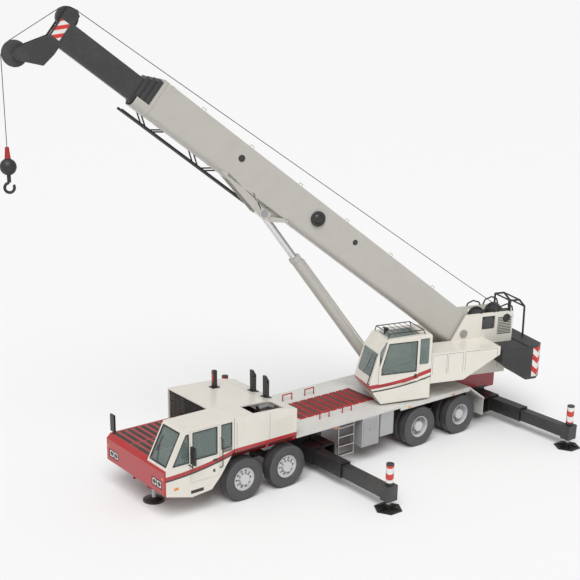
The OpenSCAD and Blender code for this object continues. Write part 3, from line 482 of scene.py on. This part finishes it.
# Outriggers
# Two-stage box beams that slide out of the housings, each with a striped jack and a ribbed float.
# Black painted plate; the jack tubes carry red and white bands, and the rods are hard chrome.
STRIPE_PALE = (0.74, 0.73, 0.70, 1.0)
ROD_BRIGHT = (0.62, 0.62, 0.63, 1.0)


def bands(base, x, y, z):
    striped = (((z - 0.66) * 3.4 + (x + y) * 1.3).wave() < 0.5) * z.between(0.70, 1.13)
    pale = z.between(0.70, 1.13)
    return striped.mix(pale.mix(base, STRIPE_PALE), (0.55, 0.03, 0.02, 1.0))


def foot_parts(base, x, y, z):
    return (z > 0.1305).mix(base, ROD_BRIGHT)


beam_paint = finish("beam_paint", (0.024, 0.024, 0.026), rough=0.38, coat=0.2, pattern=bands, dust=0.7)
float_finish = finish("float_finish", (0.012, 0.012, 0.012), rough=0.4, pattern=foot_parts)
for end in ("front", "rear"):
    for side_name, side in (("left", 1), ("right", -1)):
        wear(black_paint, f"outrigger_box_{end}_{side_name}")
        wear(beam_paint, f"outrigger_beam_{end}_{side_name}")
        wear(float_finish, f"jack_foot_{end}_{side_name}")
        low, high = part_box(f"outrigger_box_{end}_{side_name}")
        tip = high.y if side > 0 else low.y
        collar = Solid()
        y0, y1 = sorted((tip - side * 0.009, tip - side * 0.001))
        for x0, x1, z0, z1 in ((low.x - 0.012, high.x + 0.012, high.z, high.z + 0.012),
                               (low.x - 0.012, high.x + 0.012, low.z - 0.012, low.z),
                               (low.x - 0.012, low.x, low.z, high.z), (high.x, high.x + 0.012, low.z, high.z)):
            collar.box((x0, y0, z0), (x1, y1, z1))
        collar.place(f"box_collar_{end}_{side_name}", f"outrigger_box_{end}_{side_name}", black_paint)
wear(finish("front_jack_finish", (0.02, 0.02, 0.02), rough=0.4,
            pattern=lambda base, x, y, z: (z > 0.0905).mix(base, ROD_BRIGHT)), "front_jack")


# Upper works
# The revolving frame with its machinery housings, winches, operator's cab and stacked counterweight.
# Painted plate with the sweep carried over from the cab; the weight is cast iron in satin black.
turn_axis = Vector(joints["boom_luff_up"]["axis"])
slew_angle = math.atan2(turn_axis.x, -turn_axis.y)
upper = Matrix.Translation((at_x, 0.0, 0.0)) @ Matrix.Rotation(slew_angle, 4, "Z")
COS, SIN = math.cos(slew_angle), math.sin(slew_angle)


def upper_axes(x, y):
    return (x - at_x) * COS + y * SIN, y * COS - (x - at_x) * SIN


def upper_sweep(base, x, y, z):
    ahead, left = upper_axes(x, y)
    run = 1.2 - ahead
    middle = run * 0.03 + run * run * 0.075 + 1.83
    on_cab = (ahead > -0.56) * (left > 0.34)
    red = (abs(z - middle) < 0.055) * on_cab
    dark = (z - middle + run * 0.02).between(-0.145, -0.105) * on_cab
    return dark.mix(red.mix(base, (*RED, 1.0)), (0.02, 0.02, 0.02, 1.0))


def chevrons(base, x, y, z):
    ahead, left = upper_axes(x, y)
    panel = (abs(left) > 0.93) * (ahead < -3.62) * z.between(1.58, 2.40)
    slope = ((z - ahead * 0.9 + abs(left) * 0.9) * 3.1).wave() < 0.5
    return (panel * slope).mix(panel.mix(base, STRIPE_PALE), (0.55, 0.02, 0.02, 1.0))


upper_white = finish("upper_white", WHITE, rough=0.3, coat=0.45, pattern=upper_sweep, dust=0.35)
wear(upper_white, "upper_frame", "upper_cab_shell")


def sliding_pane(x, y, z):
    ahead, left = upper_axes(x, y)
    slant = ahead + z.node("ShaderNodeClamp", {}, {0: z - 2.30, 1: 0.0, 2: 1.0}) * 0.288
    return (ahead > -0.111) * (slant < 0.881) * z.between(2.149, 2.961)


wear(finish("upper_door_white", WHITE, rough=0.3, coat=0.45, pattern=upper_sweep, dust=0.35, pane=sliding_pane),
     "upper_cab_door")
wear(finish("weight_iron", (0.030, 0.030, 0.032), rough=0.5, pattern=chevrons), "counterweight")
wear(finish("winch_steel", (0.10, 0.10, 0.105), rough=0.4, metal=0.6, dust=0.9), "winches")
wear(glass, "upper_cab_glass")
wear(trim, "upper_cab_interior")
grips = Solid(upper)
grips.box((-0.12, 1.289, 1.98), (-0.06, 1.310, 2.08), round_edge=0.006)
grips.place("upper_door_grip", "upper_door", trim)
rail = Solid(upper)
rail.path([(1.19, 1.20, 1.90), (1.24, 1.22, 1.94), (1.02, 1.22, 2.66), (0.96, 1.20, 2.70)], 0.013)
rail.path([(0.70, 1.20, 3.08), (0.66, 1.20, 3.20), (-0.30, 1.20, 3.22), (-0.36, 1.20, 3.10)], 0.013)
rail.path([(0.70, 0.42, 3.08), (0.66, 0.42, 3.20), (-0.30, 0.42, 3.22), (-0.36, 0.42, 3.10)], 0.013)
rail.rod((0.66, 0.42, 3.20), (0.66, 1.20, 3.20), 0.013)
rail.rod((-0.30, 0.42, 3.22), (-0.30, 1.20, 3.22), 0.013)
for k in range(5):
    rail.rod((0.50 - k * 0.16, 0.42, 3.205), (0.50 - k * 0.16, 1.20, 3.205), 0.007)
rail.place("cab_roof_guard", "upper", trim)
work_lamp = Solid(upper)
work_lamp.rod((0.60, 0.80, 3.08), (0.60, 0.80, 3.16), 0.02, 12)
work_lamp.rod((0.52, 0.80, 3.21), (0.66, 0.80, 3.20), 0.05, 24, 0.075)
work_lamp.place("roof_lamp", "upper", black_paint)
lamp_face = Solid(upper)
lamp_face.rod((0.6605, 0.80, 3.20), (0.666, 0.80, 3.20), 0.066, 24)
lamp_face.place("roof_lamp_lens", "upper", lens)
upper_seal = Solid(upper)
loop = [(a, 1.2885, z) for a, z in ((-0.11, 2.15), (0.88, 2.15), (0.88, 2.30), (0.69, 2.96), (-0.11, 2.96))]
upper_seal.path([*loop, loop[0]], 0.010, 8)
upper_seal.place("upper_door_seal", "upper_door", rubber)
upper_wiper = Solid(upper)
upper_wiper.path([(1.165, 0.80, 2.10), (1.115, 0.90, 2.30), (1.00, 0.98, 2.66)], 0.008)
upper_wiper.place("upper_wiper", "upper", trim)
panels = Solid(upper)
for side in (-1, 1):
    for x0, x1 in ((-1.02, -0.60), (-1.50, -1.06), (-2.52, -1.56)):
        for a, b, z0, z1 in ((x0, x1, 2.50, 2.506), (x0, x0 + 0.006, 1.98, 2.50), (x1 - 0.006, x1, 1.98, 2.50)):
            panels.box((a, side * 1.2505 - 0.0015, z0), (b, side * 1.2505 + 0.0015, z1))
panels.place("housing_seams", "upper", trim)
cooling = Solid(upper)
for k in range(11):
    z = 2.60 + k * 0.045
    cooling.box((-3.40, 0.411, z), (-2.98, 0.418, z + 0.02))
    cooling.box((-3.40, -0.418, z), (-2.98, -0.411, z + 0.02))
cooling.place("plate_louvres", "upper", trim)

# Rope on the two winch drums, laid turn by turn.
rope_finish = finish("wire_rope", (0.13, 0.13, 0.135), rough=0.5, metal=0.7, dust=0.6)
drums = Solid(upper)
for x, z in ((-2.72, 2.95), (-3.25, 3.03)):
    for turn in range(20):
        y = -0.285 + turn * 0.03
        drums.rod((x, y, z), (x, y + 0.013, z), 0.196, 36)
        drums.rod((x, y + 0.013, z), (x, y + 0.030, z), 0.188, 36)
drums.place("winch_rope", "upper", rope_finish)
hoses = Solid(upper)
for k in range(4):
    y = -0.20 + k * 0.13
    hoses.path([(-2.35, y, 1.70), (-2.42, y, 2.30), (-2.40, y + 0.02, 2.55), (-2.28, y + 0.02, 2.62)], 0.020)
for side in (-1, 1):
    y = side * 0.385
    hoses.path([(-2.45, y, 3.195), (-2.50, y, 3.30), (-2.66, y, 3.36), (-2.84, y, 3.30),
                (-2.90, y, 3.195)], 0.020)
    hoses.path([(-2.96, y, 3.195), (-3.04, y, 3.36), (-3.24, y, 3.42), (-3.40, y, 3.34),
                (-3.44, y, 3.195)], 0.020)
hoses.place("upper_hoses", "upper", rubber)
guard = Solid(upper)
for side in (-1, 1):
    y = side * 0.385
    guard.path([(-3.34, y, 3.195), (-3.34, y, 3.50), (-3.62, y, 3.50), (-3.80, y, 3.30),
                (-3.82, y, 2.45)], 0.028, 12)
for x, z in ((-3.34, 3.50), (-3.62, 3.50), (-3.80, 3.30)):
    guard.rod((x, -0.385, z), (x, 0.385, z), 0.022, 12)
guard.place("winch_guard", "upper", black_paint)


# Boom and lift cylinder
# A box boom pressed from plate, its five sections nested, with the head, sheaves and the stowed lattice jib.
# The base is warm grey and the inner sections charcoal; the cylinder's rod is hard chrome.
slide_axis = Vector(joints["telescope_2"]["axis"])
luff_angle = math.asin(slide_axis.z)
foot = Vector(joints["boom_luff_up"]["pos_m"])
boom_turn = Matrix.Rotation(slew_angle, 4, "Z") @ Matrix.Rotation(-luff_angle, 4, "Y")
boom = Matrix.Translation(foot) @ boom_turn
boom_grey = finish("boom_grey", (0.46, 0.445, 0.405), rough=0.36, coat=0.3, dust=0.45)
charcoal = finish("charcoal", (0.034, 0.034, 0.036), rough=0.4, coat=0.2)


def head_stripes(base, x, y, z):
    ahead, left = upper_axes(x, y)
    foot_ahead = COS * (foot.x - at_x) + SIN * foot.y
    along = (ahead - foot_ahead) * math.cos(luff_angle) + (z - foot.z) * math.sin(luff_angle)
    across = (z - foot.z) * math.cos(luff_angle) - (ahead - foot_ahead) * math.sin(luff_angle)
    panel = along.between(13.03, 13.24) * across.between(-0.26, 0.16)
    slope = ((along + across) * 4.2).wave() < 0.5
    return (panel * slope).mix(panel.mix(base, STRIPE_PALE), (0.60, 0.03, 0.02, 1.0))


wear(boom_grey, "boom_base", "lift_barrel")
wear(charcoal, "boom_section_2", "boom_section_3", "boom_section_4")
wear(finish("head_paint", (0.034, 0.034, 0.036), rough=0.4, coat=0.2, pattern=head_stripes), "boom_tip")
wear(black_paint, "lattice_jib")
wear(finish("hard_chrome", (0.72, 0.72, 0.73), rough=0.12, metal=1.0, dust=0.2), "lift_rod")
wear(bare_steel, "boom_foot_pin", "lift_pin", "lift_piston")
HALF = 0.300
ports = Solid(boom)
for d, n, r in ((8.02, 0.12, 0.085), (4.23, 0.18, 0.07)):
    for side in (-1, 1):
        ports.rod((d, side * HALF, n), (d, side * (HALF + 0.006), n), r, 28)
ports.place("boom_ports", "boom", trim)
drum = Solid(boom)
drum.rod((5.47, HALF, 0.08), (5.47, HALF + 0.05, 0.08), 0.19, 36)
drum.rod((5.47, HALF + 0.05, 0.08), (5.47, HALF + 0.09, 0.08), 0.13, 36, 0.09)
drum.place("cable_reel", "boom", black_paint)
pads = Solid(boom)
for d in (10.46, 10.30):
    for y in (-0.2, 0.2):
        pads.box((d, y - 0.05, 0.4645), (d + 0.09, y + 0.05, 0.479), round_edge=0.004)
for d in (1.5, 3.1, 4.7, 6.3, 7.9, 9.4):
    pads.path([(d, 0.24, 0.464), (d, 0.24, 0.52), (d + 0.10, 0.24, 0.52), (d + 0.10, 0.24, 0.464)], 0.008, 8)
pads.place("boom_top_fittings", "boom", boom_grey)


# The hoist rope runs clear above the boom from the rear drum to the head, in short pieces across the section
# joints.
def rope_at(d):
    return Vector((d, 0.0, 1.144 - 0.049 * d))


def rope(name, start, end, first, second=None):
    made = Solid(boom)
    made.rod(start, end, 0.0095, 8)
    if second:
        made.stretch(name, rope_finish)
    else:
        made.place(name, first, rope_finish)


drum_top = boom.inverted() @ (upper @ Vector((-3.25, 0.0, 3.226)))
leave = drum_top + (rope_at(0.75) - drum_top) * 0.06
rope("rope_off_drum", drum_top, leave, "upper", "boom_foot_pin")
rope("rope_to_boom", leave, rope_at(0.75), "boom_foot_pin", "boom")
rope("rope_base", rope_at(0.75), rope_at(10.60), "boom")
chain = ("boom", "boom_section_2", "boom_section_3", "boom_section_4", "boom_tip")
for k in range(4):
    rope(f"rope_stretch_{k}", rope_at(10.60 + k * 0.1), rope_at(10.70 + k * 0.1), chain[k], chain[k + 1])
rope("rope_tip", rope_at(11.0), Vector((13.13, 0.0, 0.508)), "boom_tip")
rope("rope_over_head", Vector((13.378, 0.0, 0.345)), Vector((13.908, 0.0, -0.945)), "boom_tip")
cylinder_top = Solid(boom)
for side in (-1, 1):
    cylinder_top.rod((6.72, side * 0.206, -0.60), (6.72, side * 0.312, -0.60), 0.085, 24)
cylinder_top.place("lift_eye_caps", "boom", bare_steel)
# Gusset plates that spread the cylinder's thrust along the boom's flanks, burned out in triangles.
gussets = Solid(boom)
for side in (-1, 1):
    face, thick = side * 0.301, (0.0, side * -0.030, 0.0)
    for outline in (((8.30, -0.40), (8.10, -0.33), (6.78, -0.52), (6.84, -0.72)),
                    ((6.84, -0.72), (6.78, -0.50), (6.58, -0.50), (6.50, -0.70)),
                    ((6.58, -0.60), (6.50, -0.70), (6.06, -0.44), (6.14, -0.37)),
                    ((6.92, -0.52), (6.84, -0.60), (7.22, -0.36), (7.32, -0.36)),
                    ((8.10, -0.33), (8.06, -0.41), (6.14, -0.41), (6.14, -0.33))):
        gussets.plate([(d, face, n) for d, n in outline], thick)
gussets.place("lift_gussets", "boom", boom_grey)
base_pin = Vector(joints["lift_swing_up"]["pos_m"])
lift_axis = Vector(joints["lift_stroke_out"]["axis"])
lift_angle = math.asin(lift_axis.z)
lift_turn = Matrix.Rotation(slew_angle, 4, "Z") @ Matrix.Rotation(-lift_angle, 4, "Y")
lift = Matrix.Translation(base_pin) @ lift_turn
gland = Solid(lift)
gland.rod((4.10, 0, 0), (4.195, 0, 0), 0.152, 40)
for k in range(12):
    a = 2 * math.pi * k / 12
    y, z = 0.122 * math.cos(a), 0.122 * math.sin(a)
    gland.rod((4.195, y, z), (4.21, y, z), 0.012, 6)
gland.path([(0.40, 0.0, 0.15), (0.42, 0.0, 0.175), (3.95, 0.0, 0.165), (4.05, 0.0, 0.14)], 0.018, 10)
gland.place("lift_gland", "lift_barrel", boom_grey)


# Hoist rope and hook
# One part of wire rope over the jib sheave, ending in a red wedge socket above the overhaul ball.
# The ball is cast iron, the hook forged with a sprung latch.
wear(finish("sheave_nylon", (0.05, 0.05, 0.052), rough=0.45), "jib_sheave")
hook_low, hook_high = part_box("hook_ball")
fall_low, fall_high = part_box("hoist_fall")
fall_at = (fall_low + fall_high) / 2
fall_top, fall_end = Vector((fall_at.x, fall_at.y, fall_high.z)), Vector((fall_at.x, fall_at.y, fall_low.z))
fall_radius = (fall_high.x - fall_low.x) / 2
hoist_rope = Solid().rod(fall_top, fall_end, fall_radius, 12).build("hoist_rope", rope_finish)
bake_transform(hoist_rope)
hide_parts("hoist_fall")


def socket_red(base, x, y, z):
    return (z > hook_high.z - 0.245).mix(base, (0.42, 0.02, 0.02, 1.0))


wear(finish("hook_iron", (0.035, 0.035, 0.037), rough=0.45, metal=0.3, pattern=socket_red), "hook_ball")
hook_at = (hook_low + hook_high) / 2
latch = Solid()
latch.rod((hook_at.x, hook_at.y - 0.02, hook_low.z + 0.30),
          (hook_at.x + 0.10 * COS, hook_at.y + 0.10 * SIN, hook_low.z + 0.17), 0.010, 8)
latch.place("hook_latch", "hook", bare_steel)


# Studio
# A plain pale floor under an even white room, with one broad sun for a soft shadow.
# The camera stands where the photograph was taken from, with its lens shifted to the same crop.
floor_mesh = bpy.data.meshes.new("floor")
floor_mesh.from_pydata([(-90, -90, 0), (90, -90, 0), (90, 90, 0), (-90, 90, 0)], [], [(0, 1, 2, 3)])
floor = bpy.data.objects.new("floor", floor_mesh)
bpy.context.scene.collection.objects.link(floor)
pale = bpy.data.materials.new("pale_floor")
pale.use_nodes = True
pale.node_tree.nodes["Principled BSDF"].inputs["Base Color"].default_value = (0.86, 0.86, 0.86, 1.0)
pale.node_tree.nodes["Principled BSDF"].inputs["Roughness"].default_value = 0.8
floor_mesh.materials.append(pale)
world = bpy.data.worlds.new("studio")
bpy.context.scene.world = world
world.use_nodes = True
sky = world.node_tree
sky.nodes.remove(sky.nodes["Background"])
seen = Value(sky, None).node("ShaderNodeLightPath", {}, {}, "Is Camera Ray")
room = seen.node("ShaderNodeBackground", {}, {"Color": (1.0, 1.0, 1.0, 1.0), "Strength": 0.52})
backdrop = seen.node("ShaderNodeBackground", {}, {"Color": (1.0, 1.0, 1.0, 1.0), "Strength": 0.93})
both = seen.node("ShaderNodeMixShader", {}, {0: seen, 1: room, 2: backdrop})
sky.links.new(both.socket, sky.nodes["World Output"].inputs["Surface"])
lamp = bpy.data.lights.new("key_light", "SUN")
lamp.energy = 2.3
lamp.angle = math.radians(38)
key = bpy.data.objects.new("key_light", lamp)
key.rotation_euler = Vector((-0.42, -0.50, -0.92)).to_track_quat("-Z", "Y").to_euler()
bpy.context.scene.collection.objects.link(key)
camera_data = bpy.data.cameras.new("camera")
camera = bpy.data.objects.new("camera", camera_data)
bpy.context.scene.collection.objects.link(camera)
eye = Vector((at_x + 20.215, 21.106, 11.881))
aim = Vector((at_x + 5.160, 0.0, 2.420))
camera.location = eye
camera.rotation_euler = (aim - eye).to_track_quat("-Z", "Y").to_euler()
camera_data.sensor_width = 36.0
camera_data.lens = 70.55
camera_data.shift_x = 0.0973
camera_data.shift_y = 0.1644
bpy.context.scene.camera = camera
bpy.context.scene.view_settings.view_transform = "Standard"
